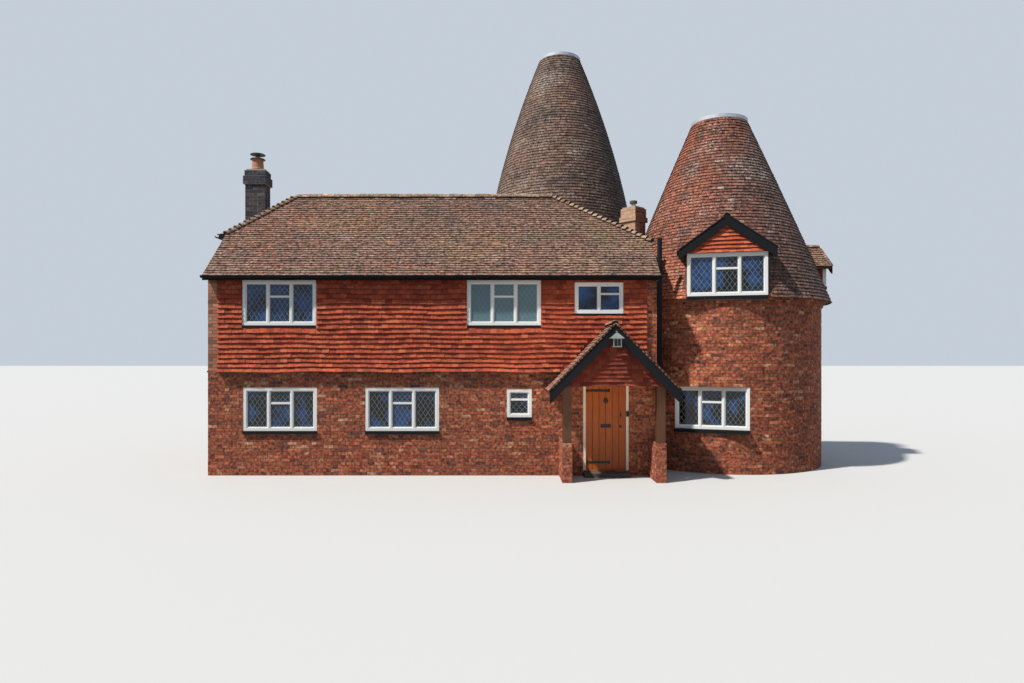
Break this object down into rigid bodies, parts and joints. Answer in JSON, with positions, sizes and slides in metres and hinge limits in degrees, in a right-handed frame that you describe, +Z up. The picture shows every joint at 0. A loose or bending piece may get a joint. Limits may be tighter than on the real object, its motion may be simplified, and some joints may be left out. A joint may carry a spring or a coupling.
{
  "type": "oast house",
  "caption": "Two-storey brick and tile-hung oast house with two round tiled kiln roofs, dormers, chimneys and a gabled porch with an opening plank door.",
  "frame": {"origin": "on the ground, at the centre of the footprint of the two-storey range, under its floor slab", "axes": "+X along the range towards the front kiln, +Y from the entrance front to the back, +Z up"},
  "size_m": [15.945, 11.4809, 13.13],
  "materials": {
    "floor_brick": "plain brick and screed floor",
    "floor_boards": "plain boards on joists",
    "brick": "soft red facing brick with pale lime joints, weathered",
    "hung_tile": "bright orange-red hung clay tiles, unglazed",
    "roof_tile": "weathered brown-red handmade clay tiles with lichen",
    "ridge_tile": "clay ridge and bonnet tiles bedded in pale mortar",
    "black_iron": "black painted iron",
    "terracotta": "orange clay pots under dark metal cowls",
    "front_kiln_tile": "red to brown-red clay tiles, greyer on the right",
    "rear_kiln_tile": "dark brown-grey clay tiles with lichen",
    "lead": "dull grey sheet",
    "black_paint": "near-black painted timber",
    "oak": "weathered oak",
    "lantern_metal": "dull grey metal",
    "white_paint": "white gloss paint on timber",
    "door_oak": "orange-brown varnished oak planks",
    "stone": "dark worn stone",
    "glass": "clear leaded glass"
  },
  "bodies": {
    "house": {"ground_floor": "floor_brick", "upper_floor": "floor_boards", "front_wall_left": "brick", "front_wall_right": "brick", "front_wall_door_head": "brick", "front_wall_upper": "brick", "back_wall": "brick", "left_end_wall": "brick", "right_end_wall": "brick", "tile_hanging": "hung_tile", "roof_front_slope": "roof_tile", "roof_back_slope": "roof_tile", "roof_half_hips": "roof_tile", "ridge_and_hip_tiles": "ridge_tile", "gutters": "black_iron", "downpipes": "black_iron", "left_chimney": "brick", "right_chimney": "brick", "chimney_pots": "terracotta", "front_kiln_wall_front": "brick", "front_kiln_wall_side": "brick", "front_kiln_wall_back": "brick", "front_kiln_roof": "front_kiln_tile", "rear_kiln_wall_left": "brick", "rear_kiln_wall_back": "brick", "rear_kiln_wall_right": "brick", "rear_kiln_roof": "rear_kiln_tile", "kiln_caps": "lead", "dormer_walls": "hung_tile", "dormer_roofs": "roof_tile", "dormer_bargeboards": "black_paint", "porch_dwarf_walls": "brick", "porch_frame": "oak", "porch_gable": "hung_tile", "porch_roof": "roof_tile", "porch_bargeboards": "black_paint", "porch_lantern": "lantern_metal", "door_frame": "white_paint", "doorstep": "stone", "window_frames_lower": "white_paint", "window_frames_upper": "white_paint", "window_glass": "glass", "window_sills": "lead"},
    "door_leaf": {"front_door": "door_oak", "door_ironwork": "black_iron"}
  },
  "joints": [
    {"name": "front_door_hinge", "type": "hinge", "parent": "house", "child": "door_leaf", "pos_m": [3.646, -2.5066, 1], "axis": [0, 0, 1], "range_deg": [0, 90]}
  ]
}
